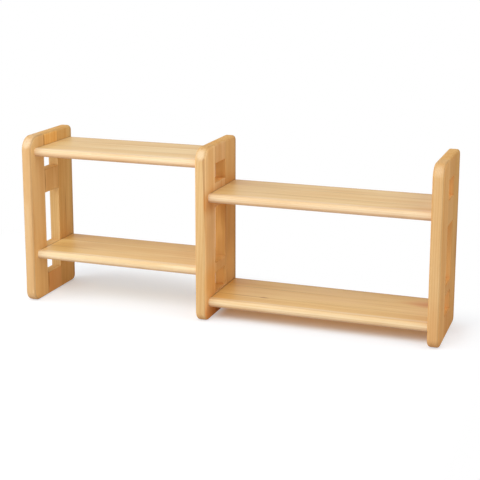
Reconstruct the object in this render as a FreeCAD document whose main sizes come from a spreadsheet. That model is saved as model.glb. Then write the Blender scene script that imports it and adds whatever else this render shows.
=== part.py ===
import FreeCAD, Part
import Sketcher
import os

# Open two-bay shelf in solid wood. Three identical panels stand on their lower edges and carry
# two shelves in each bay; the right bay's shelves hang lower than the left bay's.
# Frame: +X to the right, +Y to the back, +Z up, origin at the bottom centre. Millimetres.

sizes = {
    # panels
    "panel_height": 370,
    "panel_depth": 190,
    "panel_thickness": 24,
    "panel_top_front_radius": 30,
    "panel_bottom_front_radius": 21,
    "panel_back_radius": 13,
    "panel_edge_round": 6,
    "front_stile_width": 58,
    "back_stile_width": 70,
    # blocks and windows between the stiles; the tall window takes the height that is left
    "bottom_block_height": 50,
    "low_window_height": 42,
    "lower_block_height": 21,
    "upper_block_height": 51,
    "high_window_height": 42,
    "top_block_height": 41,
    "window_edge_round": 1,
    # bays and shelves; a drop is measured from the top of the block that the shelf meets
    "left_bay_width": 380,
    "right_bay_width": 463,
    "shelf_thickness": 18,
    "shelf_front_setback": 16,
    "shelf_back_setback": 10,
    "shelf_nose_round": 7,
    "shelf_back_round": 3,
    "front_stave_width": 52,
    "back_stave_width": 54,
    "upper_left_drop": 27,
    "upper_right_drop": 15,
    "lower_right_drop": 3,
    # blind dowels, one in each stile at every shelf end
    "dowel_diameter": 8,
    "dowel_chamfer": 1,
    "dowel_clearance": 0.05,
    "dowel_end_gap": 1,
    "panel_hole_cover": 7,
    "shelf_hole_depth": 25,
}

# Largest round, as a share of the thickness that it is cut from
round_share = 0.45
# Two coordinates closer than this are the same, in millimetres
tolerance = 1e-5

doc = FreeCAD.newDocument("WallShelf")
sheet = doc.addObject("Spreadsheet::Sheet", "Sizes")
for row, (alias, value) in enumerate(sizes.items(), start=1):
    sheet.set(f"A{row}", alias)
    sheet.set(f"B{row}", str(value))
    sheet.setAlias(f"B{row}", alias)
doc.recompute()

# Levels on a panel, from the floor up
lower_block_base = "Sizes.bottom_block_height + Sizes.low_window_height"
tall_window_base = f"{lower_block_base} + Sizes.lower_block_height"
top_block_base = "Sizes.panel_height - Sizes.top_block_height"
high_window_base = f"{top_block_base} - Sizes.high_window_height"
upper_block_base = f"{high_window_base} - Sizes.upper_block_height"
tall_window_height = f"{upper_block_base} - ({tall_window_base})"
block_width = "Sizes.panel_depth - Sizes.front_stile_width - Sizes.back_stile_width"

# Left faces of the panels and of the bays
panel_y = "-Sizes.panel_depth / 2"
half_width = "(3 * Sizes.panel_thickness + Sizes.left_bay_width + Sizes.right_bay_width) / 2"
panel_x = {
    "left": f"-{half_width}",
    "middle": f"Sizes.panel_thickness + Sizes.left_bay_width - {half_width}",
    "right": f"{half_width} - Sizes.panel_thickness",
}
bay_x = {
    "left": f"{panel_x['left']} + Sizes.panel_thickness",
    "right": f"{panel_x['middle']} + Sizes.panel_thickness",
}
bay_width = {"left": "Sizes.left_bay_width", "right": "Sizes.right_bay_width"}

# Shelves: each one meets a block of the panels, the lower left one with its top face level
shelf_y = f"{panel_y} + Sizes.shelf_front_setback"
shelf_depth = "Sizes.panel_depth - Sizes.shelf_front_setback - Sizes.shelf_back_setback"
shelf_top = {
    ("upper", "left"): "Sizes.panel_height - Sizes.upper_left_drop",
    ("lower", "left"): tall_window_base,
    ("upper", "right"): f"{high_window_base} - Sizes.upper_right_drop",
    ("lower", "right"): "Sizes.bottom_block_height - Sizes.lower_right_drop",
}

# Dowels stand midway between the shelf's edge and the stile's glue line
dowel_y = {
    "front": f"{panel_y} + (Sizes.front_stile_width + Sizes.shelf_front_setback) / 2",
    "back": "Sizes.panel_depth / 2 - (Sizes.back_stile_width + Sizes.shelf_back_setback) / 2",
}
panel_hole_depth = "Sizes.panel_thickness - Sizes.panel_hole_cover"
hole_length = f"{panel_hole_depth} + Sizes.shelf_hole_depth"
hole_radius = "Sizes.dowel_diameter / 2 + Sizes.dowel_clearance"
dowel_length = f"{hole_length} - 2 * Sizes.dowel_end_gap"
dowel_radius = "Sizes.dowel_diameter / 2"


def bind(item, expressions):
    for name, text in expressions.items():
        item.setExpression(name, text)


def place(item, x, y, z):
    bind(item, {"Placement.Base.x": x, "Placement.Base.y": y, "Placement.Base.z": z})


def side_sketch(body, name):
    # A sketch on the body's side plane: across is depth, upwards is height
    sketch = body.newObject("Sketcher::SketchObject", name)
    plane = next(item for item in body.Origin.OriginFeatures if item.Role == "YZ_Plane")
    sketch.AttachmentSupport = (plane, "")
    sketch.MapMode = "FlatFace"
    return sketch


def dimension(sketch, kind, references, expression):
    index = sketch.addConstraint(Sketcher.Constraint(kind, *references, 1.0))
    sketch.setExpression(f"Constraints[{index}]", expression)


def rectangle(sketch, across, up, width, height):
    corners = [FreeCAD.Vector(*point) for point in ((1, 1), (2, 1), (2, 2), (1, 2))]
    first = sketch.GeometryCount
    for start, end in zip(corners, corners[1:] + corners[:1]):
        sketch.addGeometry(Part.LineSegment(start, end))
    for side in range(4):
        following = first + (side + 1) % 4
        sketch.addConstraint(Sketcher.Constraint("Coincident", first + side, 2, following, 1))
        direction = "Vertical" if side % 2 else "Horizontal"
        sketch.addConstraint(Sketcher.Constraint(direction, first + side))
    dimension(sketch, "DistanceX", (first, 1, first, 2), width)
    dimension(sketch, "DistanceY", (first + 1, 1, first + 1, 2), height)
    dimension(sketch, "DistanceX", (-1, 1, first, 1), across)
    dimension(sketch, "DistanceY", (-1, 1, first, 1), up)


def pad(body, name, sketch, length):
    feature = body.newObject("PartDesign::Pad", name)
    feature.Profile = sketch
    feature.setExpression("Length", length)
    doc.recompute()
    return feature


def near(value, target):
    return abs(value - target) < tolerance


def runs_along(edge):
    # True for an edge that runs from one side of the blank to the other
    return not near(edge.Vertexes[0].X, edge.Vertexes[-1].X)


def long_edges_at(y):
    return lambda edge: runs_along(edge) and near(edge.Vertexes[0].Y, y)


def long_edge_at(y, z):
    return lambda edge: long_edges_at(y)(edge) and near(edge.Vertexes[0].Z, z)


def round_edges(body, name, chosen, radius):
    # Rounds the edges of the body's tip that pass the test
    base = body.Tip
    numbered = enumerate(base.Shape.Edges, start=1)
    feature = body.newObject("PartDesign::Fillet", name)
    feature.Base = (base, [f"Edge{number}" for number, edge in numbered if chosen(edge)])
    feature.setExpression("Radius", radius)
    doc.recompute()


def panel_blank():
    # A whole panel with its three windows, before it is divided into stiles and blocks
    body = doc.addObject("PartDesign::Body", "PanelBlank")
    outline = side_sketch(body, "PanelOutline")
    rectangle(outline, "0", "0", "Sizes.panel_depth", "Sizes.panel_height")
    pad(body, "PanelPad", outline, "Sizes.panel_thickness")
    top_front = long_edge_at(0, sheet.panel_height)
    round_edges(body, "TopFrontCorner", top_front, "Sizes.panel_top_front_radius")
    round_edges(body, "BottomFrontCorner", long_edge_at(0, 0), "Sizes.panel_bottom_front_radius")
    round_edges(body, "BackCorners", long_edges_at(sheet.panel_depth), "Sizes.panel_back_radius")
    edge_round = f"min(Sizes.panel_edge_round; {round_share} * Sizes.panel_thickness)"
    round_edges(body, "PanelRounds", lambda edge: not runs_along(edge), edge_round)

    openings = side_sketch(body, "PanelWindows")
    windows = [
        ("Sizes.bottom_block_height", "Sizes.low_window_height"),
        (tall_window_base, tall_window_height),
        (high_window_base, "Sizes.high_window_height"),
    ]
    for base, rise in windows:
        rectangle(openings, "Sizes.front_stile_width", base, block_width, rise)
    whole = body.Tip.Shape.Volume
    pocket = body.newObject("PartDesign::Pocket", "PanelPocket")
    pocket.Profile = openings
    pocket.Type = "ThroughAll"
    pocket.Reversed = True
    doc.recompute()
    if pocket.Shape.Volume >= whole:
        raise RuntimeError("the windows cut nothing")

    faces = (0, sheet.panel_thickness)
    glue_lines = (sheet.front_stile_width, sheet.panel_depth - sheet.back_stile_width)

    def on_rim(edge):
        on_face = any(all(near(corner.X, face) for corner in edge.Vertexes) for face in faces)
        in_column = all(any(near(corner.Y, line) for line in glue_lines) for corner in edge.Vertexes)
        return on_face and in_column

    round_edges(body, "WindowRounds", on_rim, "Sizes.window_edge_round")
    return body


def shelf_blank(bay):
    # A whole shelf of one bay, with a round nose in front and eased back edges
    name = f"{bay.title()}Shelf"
    body = doc.addObject("PartDesign::Body", f"{name}Blank")
    section = side_sketch(body, f"{name}Section")
    rectangle(section, "0", "0", shelf_depth, "Sizes.shelf_thickness")
    pad(body, f"{name}Pad", section, bay_width[bay])
    depth = body.Tip.Shape.BoundBox.YLength
    limit = f"{round_share} * Sizes.shelf_thickness"
    round_edges(body, f"{name}Nose", long_edges_at(0), f"min(Sizes.shelf_nose_round; {limit})")
    round_edges(body, f"{name}Back", long_edges_at(depth), f"min(Sizes.shelf_back_round; {limit})")
    return body


def pin(name, radius, length, x, y, z):
    # A round pin along X
    body = doc.addObject("PartDesign::Body", name)
    end = side_sketch(body, f"{name}_end")
    circle = end.addGeometry(Part.Circle(FreeCAD.Vector(), FreeCAD.Vector(0, 0, 1), 1))
    end.addConstraint(Sketcher.Constraint("Coincident", circle, 3, -1, 1))
    dimension(end, "Radius", (circle,), radius)
    pad(body, f"{name}_pad", end, length)
    place(body, x, y, z)
    return body


def ease_ends(body, size):
    numbered = enumerate(body.Tip.Shape.Edges, start=1)
    rims = [f"Edge{number}" for number, edge in numbered if edge.isClosed()]
    base = body.Tip
    chamfer = body.newObject("PartDesign::Chamfer", f"{body.Name}_chamfer")
    chamfer.Base = (base, rims)
    chamfer.setExpression("Size", size)


def stave(name, blank, low, extent):
    # The part of a blank that lies in one box of its own frame
    box = doc.addObject("Part::Box", f"{name}_box")
    place(box, *low)
    bind(box, dict(zip(("Length", "Width", "Height"), extent)))
    piece = doc.addObject("Part::Common", f"{name}_stave")
    piece.Base = blank
    piece.Tool = box
    return piece


def drilled(label, piece):
    cut = doc.addObject("Part::Cut", label)
    cut.Label = label
    cut.Base = piece
    cut.Tool = all_drills
    return cut


pieces = []
drills = []

# Dowels, and the holes that they share with a panel and a shelf
for (level, bay), top in shelf_top.items():
    z = f"{top} - Sizes.shelf_thickness / 2"
    hole_starts = {
        "left": f"{bay_x[bay]} - ({panel_hole_depth})",
        "right": f"{bay_x[bay]} + {bay_width[bay]} - Sizes.shelf_hole_depth",
    }
    for end, hole_x in hole_starts.items():
        label = f"{level}_{bay}_shelf_{end}_dowels"
        dowel_x = f"{hole_x} + Sizes.dowel_end_gap"
        dowels = []
        for stile, y in dowel_y.items():
            drills.append(pin(f"{label}_{stile}_hole", hole_radius, hole_length, hole_x, y, z))
            dowel = pin(f"{label}_{stile}", dowel_radius, dowel_length, dowel_x, y, z)
            ease_ends(dowel, "Sizes.dowel_chamfer")
            dowels.append(dowel)
        group = doc.addObject("Part::Compound", label)
        group.Label = label
        group.Links = dowels
        pieces.append(group)
all_drills = doc.addObject("Part::Compound", "AllDrills")
all_drills.Links = drills

# Panels: two full-height stiles with four short blocks between them
blank = panel_blank()
block_y = "Sizes.front_stile_width"
back_y = "Sizes.panel_depth - Sizes.back_stile_width"
panel_staves = {
    "front_stile": ("0", "0", "Sizes.front_stile_width", "Sizes.panel_height"),
    "back_stile": (back_y, "0", "Sizes.back_stile_width", "Sizes.panel_height"),
    "bottom_block": (block_y, "0", block_width, "Sizes.bottom_block_height"),
    "lower_block": (block_y, lower_block_base, block_width, "Sizes.lower_block_height"),
    "upper_block": (block_y, upper_block_base, block_width, "Sizes.upper_block_height"),
    "top_block": (block_y, top_block_base, block_width, "Sizes.top_block_height"),
}
for side, x in panel_x.items():
    for part_name, (y, z, width, height) in panel_staves.items():
        label = f"{side}_panel_{part_name}"
        piece = stave(label, blank, ("0", y, z), ("Sizes.panel_thickness", width, height))
        place(piece, x, panel_y, "0")
        pieces.append(drilled(label, piece))

# Shelves: three staves glued edge to edge
back_stave_y = f"{shelf_depth} - Sizes.back_stave_width"
shelf_staves = {
    "front_stave": ("0", "Sizes.front_stave_width"),
    "middle_stave": ("Sizes.front_stave_width", f"{back_stave_y} - Sizes.front_stave_width"),
    "back_stave": (back_stave_y, "Sizes.back_stave_width"),
}
shelf_blanks = {bay: shelf_blank(bay) for bay in bay_x}
for (level, bay), top in shelf_top.items():
    for part_name, (y, width) in shelf_staves.items():
        label = f"{level}_{bay}_shelf_{part_name}"
        extent = (bay_width[bay], width, "Sizes.shelf_thickness")
        piece = stave(label, shelf_blanks[bay], ("0", y, "0"), extent)
        place(piece, bay_x[bay], shelf_y, f"{top} - Sizes.shelf_thickness")
        pieces.append(drilled(label, piece))

doc.recompute()

for item in doc.Objects:
    if {"Invalid", "Error"} & set(item.State):
        raise RuntimeError(f"{item.Label} failed: {item.State}")
for piece in pieces:
    expected = 2 if piece.Label.endswith("dowels") else 1
    if piece.Shape.isNull() or not piece.Shape.isValid() or len(piece.Shape.Solids) != expected:
        raise RuntimeError(f"{piece.Label} has no valid shape")

os.makedirs("parts", exist_ok=True)
for piece in pieces:
    piece.Shape.exportStep(f"parts/{piece.Label}.step")
    print(piece.Label, round(piece.Shape.Volume / 1000, 2), "cm3")
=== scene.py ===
import math

import bmesh
import bpy
from mathutils import Euler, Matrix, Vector


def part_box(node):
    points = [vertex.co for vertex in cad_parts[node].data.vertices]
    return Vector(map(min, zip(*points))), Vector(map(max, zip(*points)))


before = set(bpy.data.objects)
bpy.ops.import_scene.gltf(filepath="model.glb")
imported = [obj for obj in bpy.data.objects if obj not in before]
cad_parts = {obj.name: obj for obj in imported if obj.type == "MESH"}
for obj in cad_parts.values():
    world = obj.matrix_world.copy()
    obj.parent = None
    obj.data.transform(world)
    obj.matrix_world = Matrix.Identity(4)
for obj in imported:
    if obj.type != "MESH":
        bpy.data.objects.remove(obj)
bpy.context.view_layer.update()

print("frame:", len(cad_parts), "nodes")


class Wire:
    # one output in a node tree; sums on it add Math nodes, and node() adds any other kind

    def __init__(self, tree, socket=None):
        self.tree = tree
        self.socket = socket

    def node(self, kind, settings=None, sockets=None, out=0):
        made = self.tree.nodes.new(kind)
        for name, value in (settings or {}).items():
            setattr(made, name, value)
        for name, value in (sockets or {}).items():
            if isinstance(value, Wire):
                self.tree.links.new(value.socket, made.inputs[name])
            else:
                made.inputs[name].default_value = value
        return Wire(self.tree, made.outputs[out] if made.outputs else None)

    def maths(self, operation, *values):
        return self.node("ShaderNodeMath", {"operation": operation}, dict(enumerate(values)))

    def vectors(self, operation, first, second=(0, 0, 0), out="Vector"):
        return self.node("ShaderNodeVectorMath", {"operation": operation}, {0: first, 1: second}, out)

    def axis(self, name):
        return self.node("ShaderNodeSeparateXYZ", {}, {0: self}, name)

    def most(self, other):
        return self.maths("MAXIMUM", self, other)

    def __add__(self, other):
        return self.maths("ADD", self, other)

    def __radd__(self, other):
        return self.maths("ADD", other, self)

    def __sub__(self, other):
        return self.maths("SUBTRACT", self, other)

    def __rsub__(self, other):
        return self.maths("SUBTRACT", other, self)

    def __mul__(self, other):
        return self.maths("MULTIPLY", self, other)

    def __rmul__(self, other):
        return self.maths("MULTIPLY", other, self)

    def __truediv__(self, other):
        return self.maths("DIVIDE", self, other)

    def __rtruediv__(self, other):
        return self.maths("DIVIDE", other, self)

    def __abs__(self):
        return self.maths("ABSOLUTE", self)


def screenColour(shown):
    # display values from 0 to 255 as the linear colour that a socket takes
    shares = [value / 255 for value in shown]
    linear = [share / 12.92 if share <= 0.04045 else ((share + 0.055) / 1.055) ** 2.4 for share in shares]
    return (*linear, 1)


def easeBetween(value, low, high, start=0.0, end=1.0):
    ends = {"Value": value, "From Min": low, "From Max": high, "To Min": start, "To Max": end}
    return value.node("ShaderNodeMapRange", {"interpolation_type": "SMOOTHSTEP"}, ends)


def mixColour(factor, first, second):
    # 6, 7 and output 2 are the Mix node's colour sockets, which share their names with the others
    return factor.node("ShaderNodeMix", {"data_type": "RGBA"}, {0: factor, 6: first, 7: second}, 2)


plain = (1, 1, 1, 1)  # white light, or no tint
black = (0, 0, 0, 1)

wood = {
    "pale": (238, 203, 150),
    "deep": (218, 168, 106),
    # streakAndShade darkens wood streaks, and also paints shade in marks that give no other colour
    "streakAndShade": (164, 98, 42),
    # glue darkens glue lines, and also paints shade at the shelf ends and along the back stiles' back arris
    "glue": (112, 66, 30),
    # paintedHighlight: a pale painted highlight laid on the panels' rounded front top corners
    "paintedHighlight": (255, 242, 216),
    # honey paints light into shaded window recesses; amber paints warm shade low on the middle front stile;
    # umber paints shade under the shelves and at a foot, and is also a streak on the lower right shelf
    "honey": (255, 196, 116),
    "amber": (230, 148, 12),
    "umber": (200, 114, 12),
    "ringWidth": 0.0032,
    "ringBend": 0.011,
    "lateFrom": (0.2, 0.9),  # shares of a ring, over which its dark late wood comes and ends
    "lateTo": (1.0, 0.92),
    "noise": {  # scale, length along the fibres, detail and roughness
        "bend": (9, 5, 2.0, 0.5),
        "bands": (70, 30, 3.0, 0.55),
        "cloud": (14, 4, 2.0, 0.5),
        "fibre": (800, 60, 3.0, 0.6),
        "flecks": (1300, 9, 1.0, 0.5),
        "streaks": (120, 70, 2.0, 0.5),
    },
    "fleckRim": (0.13, 0.22),
    "streakRim": (0.14, 0.26),
    "gluePatches": (-0.08, 0.08),
    "figure": {"start": 0.373, "bands": 0.8, "cloud": 0.8, "fibre": 0.4, "late": 0.22, "flecks": 0.12},
    "figureRange": (-0.1, 1.0),
    "relief": {"fibre": 0.5, "late": 0.3, "flecks": 0.5},
    "bumpStrength": 0.35,
    "bumpHeight": 0.00012,
    "dulled": {"fibre": 0.2, "cloud": 0.15},
    "sideChange": 0.004,
    "revealRim": (0.0015, 0.0005),
    "lineCore": 0.3,
    "markCore": 0.2,
    "markFray": 0.8,
}


def woodMaterial(name, stave):
    # stave says how the piece lies in its log, and gives its tones, finish, glue lines and marks
    material = bpy.data.materials.new(name)
    material.use_nodes = True
    material.node_tree.nodes.clear()
    start = Wire(material.node_tree)
    place = start.node("ShaderNodeTexCoord", out="Object")
    turn = Euler((stave["lean"], math.radians(-90) if stave["grain"] == "X" else 0, 0))
    shift = Vector((*stave["pith"], stave["seed"])) - turn.to_matrix() @ stave["centre"]
    log = start.node("ShaderNodeMapping", {}, {"Vector": place, "Location": shift, "Rotation": turn})

    def along(kind):
        # noise about 0, whose spots are drawn out along the fibres
        scale, length, detail, rough = wood["noise"][kind]
        drawn = start.vectors("MULTIPLY", log, (1, 1, 1 / length))
        sockets = {"Vector": drawn, "Scale": scale, "Detail": detail, "Roughness": rough}
        return start.node("ShaderNodeTexNoise", {}, sockets) - 0.5

    # growth rings round the pith, bent a little along the log
    radius = start.vectors("LENGTH", start.vectors("MULTIPLY", log, (1, 1, 0)), out="Value")
    growth = (radius + along("bend") * wood["ringBend"]) / wood["ringWidth"]
    ring = growth.maths("FRACT", growth)
    late = easeBetween(ring, *wood["lateFrom"]) * easeBetween(ring, *wood["lateTo"])

    # broad bands, fine fibres, short flecks and a few long streaks
    bands, cloud, fibre = along("bands"), along("cloud"), along("fibre")
    flecks = easeBetween(along("flecks"), *wood["fleckRim"])
    streaks = easeBetween(along("streaks"), *wood["streakRim"])
    share = wood["figure"]
    figure = share["start"] + bands * share["bands"] + cloud * share["cloud"] + fibre * share["fibre"]
    figure = figure + late * share["late"] + flecks * share["flecks"]
    depth = easeBetween(figure, *wood["figureRange"])
    grained = mixColour(depth, screenColour(wood["pale"]), screenColour(wood["deep"]))
    grained = mixColour(streaks * stave["streaks"], grained, screenColour(wood["streakAndShade"]))

    # painted light and shade: the tone changes along a board, painted light at a shelf's left end and
    # painted shade towards a panel's foot, and the rounded edges take another tone, a painted highlight on
    # shelf noses and a darker painted shade on panel edges
    lightingDrift = easeBetween(place.axis(stave["grain"]), *stave["run"])
    if stave["grain"] == "Z":  # painted shade: a panel darkens towards its foot on its right face only
        leftwards = stave["centre"].x - place.axis("X")
        lightingDrift = lightingDrift.most(easeBetween(leftwards, -wood["sideChange"], wood["sideChange"]))
    face = mixColour(lightingDrift, *stave["tones"])
    axis, middle, inner, outer = stave["edge"]
    outward = abs(place.axis(axis) - middle)
    rounded = easeBetween(outward, inner, outer)
    edge = mixColour(easeBetween(outward, *stave["arris"]), stave["edgeTone"], stave["arrisShadeTone"])
    tone = mixColour(rounded, face, edge)
    # painted shade and light in the window recesses: the reveals take a darker tone on the middle and right
    # panels, and the sills a lighter one
    for axis, level in stave["reveals"]:
        inside = easeBetween(abs(place.axis(axis) - level), *wood["revealRim"])
        tone = mixColour(inside * rounded, tone, stave["revealTone"])
    colour = start.vectors("MULTIPLY", grained, tone)

    # shade along a shelf's ends, and glue lines that come and go, on the flat faces only
    patchy = easeBetween(cloud, *wood["gluePatches"])
    for axis, level, width, strength in stave["lines"]:
        away = abs(place.axis(axis) - level)
        near = easeBetween(away, width * wood["lineCore"], width, strength, 0) * (1 - rounded)
        colour = mixColour(near if axis == "X" else near * patchy, colour, screenColour(wood["glue"]))

    # single marks with frayed rims: wood streaks, knots and dark joints, and also painted shade and painted
    # light
    for spot, reach, strength, *shade in stave["marks"]:
        away = start.vectors("DIVIDE", start.vectors("SUBTRACT", place, spot), reach)
        far = start.vectors("LENGTH", away, out="Value") + fibre * wood["markFray"]
        dye = wood[shade[0] if shade else "streakAndShade"]
        colour = mixColour(easeBetween(far, wood["markCore"], 1, strength, 0), colour, screenColour(dye))

    relief, dulled = wood["relief"], wood["dulled"]
    height = fibre * relief["fibre"] + late * relief["late"] - flecks * relief["flecks"]
    sockets = {"Strength": wood["bumpStrength"], "Distance": wood["bumpHeight"], "Height": height}
    bump = start.node("ShaderNodeBump", {}, sockets)
    skin = start.node("ShaderNodeBsdfPrincipled", {}, {
        "Base Color": colour,
        "Roughness": stave["roughness"] + fibre * dulled["fibre"] + cloud * dulled["cloud"],
        "Normal": bump,
        "Specular IOR Level": stave["specular"],
    })
    start.node("ShaderNodeOutputMaterial", {}, {"Surface": skin})
    return material


def blend(*tones):
    # tones multiplied together, as a colour that a socket takes
    return (*(math.prod(parts) for parts in zip(*tones)), 1)


panels = {
    "streaks": 0.4,
    "roughness": 0.7,
    "specular": 0.03,
    "edge": {"left": (0.0119, 0.0105), "middle": (0.0118, 0.008), "right": (0.0117, 0.0092)},
    "run": {"left": (0.0, 0.22), "middle": (0.01, 0.06), "right": (0.0, 0.22)},
    # painted shade: the panels darken and warm towards their feet, the middle one most, under the lower
    # right shelf
    "footShadeTone": {
        "left": (0.97, 0.82, 0.7),
        "middle": (0.88, 0.56, 0.34),
        "right": (0.97, 0.86, 0.75),
        "left_panel_front_stile": (1.05, 0.98, 0.88),
        "right_panel_front_stile": (0.96, 0.95, 0.95),
    },
    "face": {"left": (1.0, 1.07, 1.25), "middle": (1.02, 1.06, 1.38), "right": (0.87, 0.82, 0.86)},
    # painted shade in the window reveals of the middle and right panels, and painted light on their sills
    "reveal": {"left": (0.97, 1.02, 1.0), "middle": (0.98, 0.86, 0.63), "right": (0.9, 0.73, 0.53)},
    "sill": {
        "left": (1.0, 0.95, 0.9),
        "middle": (1.15, 1.15, 1.15),
        "right": (1.1, 1.1, 1.1),
        "middle_panel_lower_block": (0.98, 1.0, 1.05),
    },
    # painted shade: the rounded edges take a darker tone than the faces, against the stronger light they
    # catch
    "edgeTone": {
        "front_stile": (0.86, 0.84, 0.8),
        "back_stile": (0.9, 0.82, 0.67),
        "block": (0.9, 0.82, 0.67),
        "left_panel_front_stile": (0.87, 0.86, 0.9),
        "right_panel_front_stile": (0.86, 0.81, 0.76),
    },
    # painted shade: a darker tone on the rounded arrises beside each front stile's front edge
    "arris": (0.007, 0.0115),
    "arrisShadeTone": (0.84, 0.8, 0.74),
    # painted shade: a dark mark at the foot of each front stile
    "foot": {"inset": 0.01, "reach": (0.03, 0.03, 0.02), "strength": 0.4},
    # painted shade: a dark line along the back arris of each panel's right face
    "backEdge": ((0.009, 0.02, 5), 0.3, "glue"),
    # painted highlight: the pale mark round each front stile's top front corner
    "corner": {"inset": 0.0055, "drop": 0.013, "reach": (0.014, 0.018, 0.018)},
    "cornerStrength": {"left": 0.32, "middle": 0.32, "right": 0.16},
    "windowsWithin": (0.01, 0.36),
    "tone": {
        "front_stile": (1.0, 0.88, 0.66),
        "back_stile": (0.96, 0.84, 0.56),
        "block": (1.0, 0.88, 0.64),
        "left_panel_top_block": (1.15, 0.94, 0.54),
        "left_panel_bottom_block": (1.08, 0.9, 0.66),
        "middle_panel_front_stile": (1.13, 1.05, 0.78),
        "middle_panel_back_stile": (0.955, 0.82, 0.52),
        "middle_panel_lower_block": (1.0, 0.84, 0.52),
        "right_panel_front_stile": (1.1, 0.98, 0.72),
    },
    "glue": (0.0012, 0.5),
    "marks": {  # place, reach, strength, and a colour other than streakAndShade
        "left_panel_top_block": [
            ((-0.4335, -0.037, 0.35), (0.008, 0.005, 0.03), 0.85),
            ((-0.4335, 0.025, 0.35), (0.008, 0.003, 0.03), 0.5),
        ],
        "left_panel_upper_block": [((-0.4335, -0.036, 0.262), (0.008, 0.005, 0.03), 0.5)],
        "left_panel_bottom_block": [((-0.4335, -0.033, 0.034), (0.008, 0.004, 0.03), 0.45)],
        "left_panel_back_stile": [((-0.4335, 0.055, 0.18), (0.008, 0.004, 0.07), 0.4)],
        # painted shade on the middle panel: umber under the upper right shelf and amber low on the stile;
        # the first mark is a streak
        "middle_panel_front_stile": [
            ((-0.0295, -0.06, 0.16), (0.006, 0.035, 0.12), 0.12),
            ((-0.0295, -0.05, 0.254), (0.007, 0.5, 0.035), 0.5, "umber"),
            ((-0.0295, -0.06, 0.078), (0.008, 0.06, 0.065), 0.45, "amber"),
        ],
        # painted shade under the upper right shelf
        "middle_panel_upper_block": [((-0.0295, 0, 0.254), (0.02, 0.5, 0.035), 0.5, "umber")],
        # painted shade in the tall window's reveal and down the stile's right face below the upper right
        # shelf, and painted light in honey lifting the low window's reveal and the stile's right face low
        # down
        "middle_panel_back_stile": [
            ((-0.0415, 0.025, 0.125), (0.02, 0.012, 0.05), 0.25),
            ((-0.031, 0.025, 0.18), (0.012, 0.012, 0.09), 0.25),
            ((-0.0295, 0.05, 0.254), (0.04, 0.5, 0.045), 0.4, "umber"),
            ((-0.036, 0.025, 0.236), (0.02, 0.012, 0.08), 0.4),
            ((-0.0415, 0.025, 0.066), (0.02, 0.012, 0.033), 0.75, "honey"),
            ((-0.0295, 0.058, 0.09), (0.006, 0.045, 0.07), 0.45, "honey"),
            ((-0.0295, 0.06, 0.17), (0.007, 0.06, 0.1), 0.2, "umber"),
        ],
        # painted shade at the foot of the right panel's front stile, in umber
        "right_panel_front_stile": [((0.4455, -0.095, 0.03), (0.02, 0.03, 0.11), 0.22, "umber")],
        "right_panel_back_stile": [((0.4575, 0.075, 0.17), (0.006, 0.035, 0.08), 0.25)],
    },
}
shelves = {
    "streaks": 0.25,
    "roughness": 0.42,
    "specular": 0.3,
    "back": 0.085,
    "nose": (0.146, 0.153),
    "jointsWithin": 0.05,
    "run": 0.08,
    "tone": {"upper": (0.95, 1.0, 0.93), "lower": (0.99, 1.02, 0.81)},
    # painted shade: the back staves are darker, the lower shelves' most
    "backShadeTone": {"upper": (0.97, 0.95, 0.92), "lower": (0.93, 0.87, 0.72)},
    # painted light at each shelf's left end, against the panel's shadow there, warmer on the lower right
    # shelf
    "leftEndLightTone": {
        "upper_left": (1.12, 1.17, 1.23),
        "lower_left": (1.05, 1.08, 1.15),
        "upper_right": (1.03, 1.02, 0.98),
        "lower_right": (1.06, 0.98, 0.86),
    },
    # painted highlight: the shelf noses are paler, the lower shelves' most
    "noseHighlightTone": {"upper": (1.02, 1.16, 1.48), "lower": (1.08, 1.3, 1.68)},
    "end": (0.003, 0.7),
    "glue": (0.0015, 0.4),
    # painted shade along the underside of each front nose
    "underNoseShade": ((5, 0.03, 0.012), 0.5),
    "backEdge": ((5, 0.013, 0.02), 0.35),
    "marks": {
        "lower_right_shelf_front_stave": [
            ((0.078, -0.031, 0.047), (0.014, 0.004, 0.004), 0.8),
            ((0.03, -0.03, 0.047), (0.07, 0.005, 0.004), 0.3),
        ],
        # painted light: the middle of the lower right shelf's top is paler; the umber mark at its right end
        # is a streak
        "lower_right_shelf_middle_stave": [
            ((0.2, 0.01, 0.047), (0.16, 0.035, 0.006), 0.3, "pale"),
            ((0.43, 0.03, 0.047), (0.08, 0.02, 0.006), 0.55, "umber"),
        ],
        # painted light in the middle, and painted shade at the back left beside the middle panel; the umber
        # mark is a streak
        "lower_right_shelf_back_stave": [
            ((0.2, 0.045, 0.047), (0.17, 0.045, 0.006), 0.4, "pale"),
            ((0.425, 0.035, 0.047), (0.085, 0.03, 0.006), 0.65, "umber"),
            ((-0.03, 0.065, 0.047), (0.08, 0.04, 0.006), 0.14),
        ],
        # painted shade at the back left beside the middle panel; the second mark is a streak
        "upper_right_shelf_back_stave": [
            ((-0.03, 0.06, 0.272), (0.11, 0.05, 0.006), 0.2),
            ((0.35, 0.031, 0.272), (0.06, 0.006, 0.006), 0.15),
        ],
        # painted shade at the back left beside the left panel
        "lower_left_shelf_back_stave": [((-0.42, 0.07, 0.113), (0.1, 0.03, 0.006), 0.2)],
    },
}
dowels = {"streaks": 0.2, "roughness": 0.6, "specular": 0.1}
staves = {
    "spin": 2.39996,  # golden angle, so that no two logs lie alike
    "pithNear": 0.03,
    "pithFar": 0.11,
    "pithStep": 0.618,
    "lean": 0.03,
    "leanStep": 1.7,
    "seedStep": 3.1,
    "offPiece": (1, 2),  # too far out for any piece, where it has no such edge
}
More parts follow.
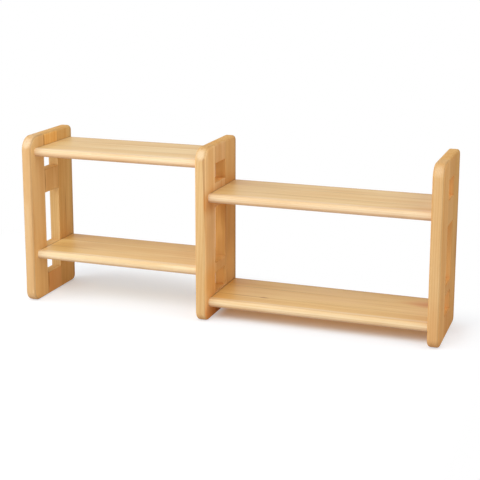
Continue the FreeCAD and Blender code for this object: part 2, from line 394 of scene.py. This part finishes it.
for index, (name, node) in enumerate(sorted(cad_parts.items())):
    low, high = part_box(name)
    centre = (low + high) / 2
    spin = index * staves["spin"]
    reach = staves["pithNear"] + (staves["pithFar"] - staves["pithNear"]) * (index * staves["pithStep"] % 1)
    kind = dowels if "dowels" in name else shelves if "shelf" in name else panels
    stave = {
        "grain": "Z" if kind is panels else "X",
        "centre": centre,
        "pith": (reach * math.cos(spin), reach * math.sin(spin)),
        "lean": staves["lean"] * math.sin(index * staves["leanStep"]),
        "seed": index * staves["seedStep"],
        "run": (low.x, high.x),
        "tones": (plain, plain),
        "edge": ("Y", high.y, *staves["offPiece"]),
        "edgeTone": plain,
        "arris": staves["offPiece"],
        "arrisShadeTone": plain,
        "reveals": [],
        "revealTone": plain,
        "roughness": kind["roughness"],
        "specular": kind["specular"],
        "streaks": kind["streaks"],
        "lines": [],
        "marks": [],
    }
    if kind is panels:
        side = name.split("_")[0]
        part = "block" if "block" in name else "_".join(name.split("_")[2:])
        tone = blend(panels["face"][side], panels["tone"].get(name, panels["tone"][part]))
        # painted shade towards the foot
        stave["tones"] = [blend(tone, panels["footShadeTone"].get(name, panels["footShadeTone"][side])), tone]
        stave["run"] = panels["run"][side]
        stave["edge"] = ("X", centre.x, *panels["edge"][side])
        edgeTone = panels["edgeTone"].get(name, panels["edgeTone"][part])
        stave["edgeTone"] = blend(edgeTone)
        stave["marks"] = list(panels["marks"].get(name, []))
        if part == "block":
            stave["lines"] = [("Y", joint, *panels["glue"]) for joint in (low.y, high.y)]
            bottom, top = panels["windowsWithin"]
            stave["reveals"] = [("Z", level) for level in (low.z, high.z) if bottom < level < top]
            sill = panels["sill"].get(name, panels["sill"][side])
            stave["revealTone"] = blend(panels["reveal"][side], sill)
        else:
            stave["reveals"] = [("Y", high.y if part == "front_stile" else low.y)]
            stave["revealTone"] = blend(panels["reveal"][side])
        if part == "back_stile":
            # painted shade along the back arris
            stave["marks"].append(((high.x, high.y, centre.z), *panels["backEdge"]))
        if part == "front_stile":
            # painted shade on the arrises beside the front edge
            stave["arris"] = panels["arris"]
            stave["arrisShadeTone"] = blend(edgeTone, panels["arrisShadeTone"])
            foot, corner = panels["foot"], panels["corner"]
            # painted shade at the foot
            footShadeSpot = (centre.x, low.y + foot["inset"], low.z)
            # painted highlight round the front top corner
            cornerHighlightSpot = (centre.x, low.y + corner["inset"], high.z - corner["drop"])
            stave["marks"].append((footShadeSpot, foot["reach"], foot["strength"]))
            stave["marks"].append((cornerHighlightSpot, corner["reach"], panels["cornerStrength"][side], "paintedHighlight"))
    elif kind is shelves:
        level, bay = name.split("_")[:2]
        # painted shade on the back staves
        tone = blend(shelves["tone"][level], shelves["backShadeTone"][level] if "back" in name else plain)
        # painted light at the shelf's left end
        stave["tones"] = [blend(tone, shelves["leftEndLightTone"][f"{level}_{bay}"]), tone]
        stave["run"] = (low.x, low.x + shelves["run"])
        stave["edge"] = ("Y", shelves["back"], *shelves["nose"])
        # painted highlight on the nose
        stave["edgeTone"] = blend(shelves["noseHighlightTone"][level])
        stave["lines"] = [("X", end, *shelves["end"]) for end in (low.x, high.x)]
        joints = [joint for joint in (low.y, high.y) if abs(joint) < shelves["jointsWithin"]]
        stave["lines"] += [("Y", joint, *shelves["glue"]) for joint in joints]
        stave["marks"] = list(shelves["marks"].get(name, []))
        if "front" in name:
            # painted shade under the nose
            stave["marks"].append(((centre.x, low.y, low.z), *shelves["underNoseShade"]))
        if "back" in name:
            stave["marks"].append(((centre.x, high.y, high.z), *shelves["backEdge"]))
    material = woodMaterial(name + "_wood", stave)
    for slot in node.material_slots:
        slot.material = material
print("wood:", len(bpy.data.materials), "materials")

floor = {
    "reach": 4.0,
    "colour": (0.82, 0.86, 0.92, 1),
    "lift": 0.24,
    # painted warm shade on the floor under the lower right shelf
    "warmShadeColour": (0.86, 0.56, 0.31, 1),
    # painted light: the floor's shadow clears to white over these spans
    "clearRound": (0.75, 1.35),
    "clearBehind": (0.06, 0.28),
    "behindSlant": 0.15,
    "clearRight": (0.44, 0.56),
    "clearFront": (0.09, -0.03, 0, 0.35),  # clears by about a third only
    "shadeUnder": (-0.075, -0.03),
    "bayLeft": (-0.05, -0.01),
    "bayRight": (0.46, 0.42),
    "warmFront": (-0.085, 0.0),
    "warmBack": (0.12, 0.07),
}

floorMesh = bpy.data.meshes.new("floor")
floorShape = bmesh.new()
bmesh.ops.create_grid(floorShape, x_segments=1, y_segments=1, size=floor["reach"])
floorShape.to_mesh(floorMesh)
floorShape.free()
floorPiece = bpy.data.objects.new("floor", floorMesh)
bpy.context.scene.collection.objects.link(floorPiece)


def seenDirectly(start):
    # 1 for the camera, and for gloss and glass, which show the same background
    kinds = ("Is Camera Ray", "Is Glossy Ray", "Is Transmission Ray")
    eye, gloss, glass = (start.node("ShaderNodeLightPath", out=kind) for kind in kinds)
    return eye.most(gloss).most(glass)


floorMaterial = bpy.data.materials.new("paleFloor")
floorMaterial.use_nodes = True
floorMaterial.node_tree.nodes.clear()
start = Wire(floorMaterial.node_tree)
seen = seenDirectly(start)
place = start.node("ShaderNodeTexCoord", out="Object")
across, back = place.axis("X"), place.axis("Y")
# painted warm shade on the floor under the lower right shelf, which keeps its full shade there
underBay = easeBetween(across, *floor["bayLeft"]) * easeBetween(across, *floor["bayRight"])
warmShade = easeBetween(back, *floor["warmFront"]) * easeBetween(back, *floor["warmBack"]) * underBay
shaded = easeBetween(back, *floor["shadeUnder"]) * underBay
# painted light: the floor's shadow clears to white away from the shelf, and a little in front of it
clear = easeBetween(start.vectors("LENGTH", place, out="Value"), *floor["clearRound"])
clear = clear.most(easeBetween(back + across * floor["behindSlant"], *floor["clearBehind"]))
clear = clear.most(easeBetween(across, *floor["clearRight"]))
clear = clear.most(easeBetween(back, *floor["clearFront"]) * (1 - shaded))
matt = start.node("ShaderNodeBsdfDiffuse", {}, {"Color": mixColour(warmShade, floor["colour"], floor["warmShadeColour"])})
glow = mixColour(seen * floor["lift"], black, mixColour(warmShade, plain, floor["warmShadeColour"]))
lift = start.node("ShaderNodeEmission", {}, {"Color": glow, "Strength": 1.0})
lit = start.node("ShaderNodeAddShader", {}, {0: matt, 1: lift})
white = start.node("ShaderNodeEmission", {}, {"Color": plain, "Strength": 1.0})
shown = start.node("ShaderNodeMixShader", {}, {0: clear * seen, 1: lit, 2: white})
start.node("ShaderNodeOutputMaterial", {}, {"Surface": shown})
floorMesh.materials.append(floorMaterial)

studio = {"ambient": 0.6, "aim": (0, 0, 0.15)}
world = bpy.data.worlds.new("studio")
bpy.context.scene.world = world
world.use_nodes = True
world.node_tree.nodes.clear()
start = Wire(world.node_tree)
ambient = start.node("ShaderNodeBackground", {}, {"Color": plain, "Strength": studio["ambient"]})
white = start.node("ShaderNodeBackground", {}, {"Color": plain, "Strength": 1.0})
shown = start.node("ShaderNodeMixShader", {}, {0: seenDirectly(start), 1: ambient, 2: white})
start.node("ShaderNodeOutputWorld", {}, {"Surface": shown})

lamps = {
    "keyLamp": {"place": (-0.2, -1.6, 2.0), "size": 1.4, "power": 16},
    "frontLamp": {"place": (-0.2, -2.4, 1.0), "size": 1.4, "power": 9},
    "leftLamp": {"place": (-2.1, -1.25, 1.25), "size": 1.6, "power": 20},
    "rightLamp": {"place": (1.7, -0.6, 2.0), "size": 1.4, "power": 9},
}
aim = Vector(studio["aim"])
for name, lamp in lamps.items():
    light = bpy.data.lights.new(name, "AREA")
    light.shape = "DISK"
    light.size = lamp["size"]
    light.energy = lamp["power"]
    holder = bpy.data.objects.new(name, light)
    holder.location = lamp["place"]
    holder.rotation_euler = (aim - holder.location).to_track_quat("-Z", "Y").to_euler()
    bpy.context.scene.collection.objects.link(holder)
print("light:", len(lamps), "lamps")

view = {
    "place": (0.7886, -2.1944, 0.79),
    "pitch": 78.64,
    "yaw": 19.894,
    "sensor": 36,
    "lens": 84.51,
    "shift": (0.0167, -0.1563),
}
camera = bpy.data.cameras.new("camera")
camera.sensor_width = view["sensor"]
camera.lens = view["lens"]
camera.shift_x, camera.shift_y = view["shift"]
cameraPiece = bpy.data.objects.new("camera", camera)
cameraPiece.location = view["place"]
cameraPiece.rotation_euler = (math.radians(view["pitch"]), 0, math.radians(view["yaw"]))
bpy.context.scene.collection.objects.link(cameraPiece)
bpy.context.scene.camera = cameraPiece
bpy.context.scene.view_settings.view_transform = "Standard"
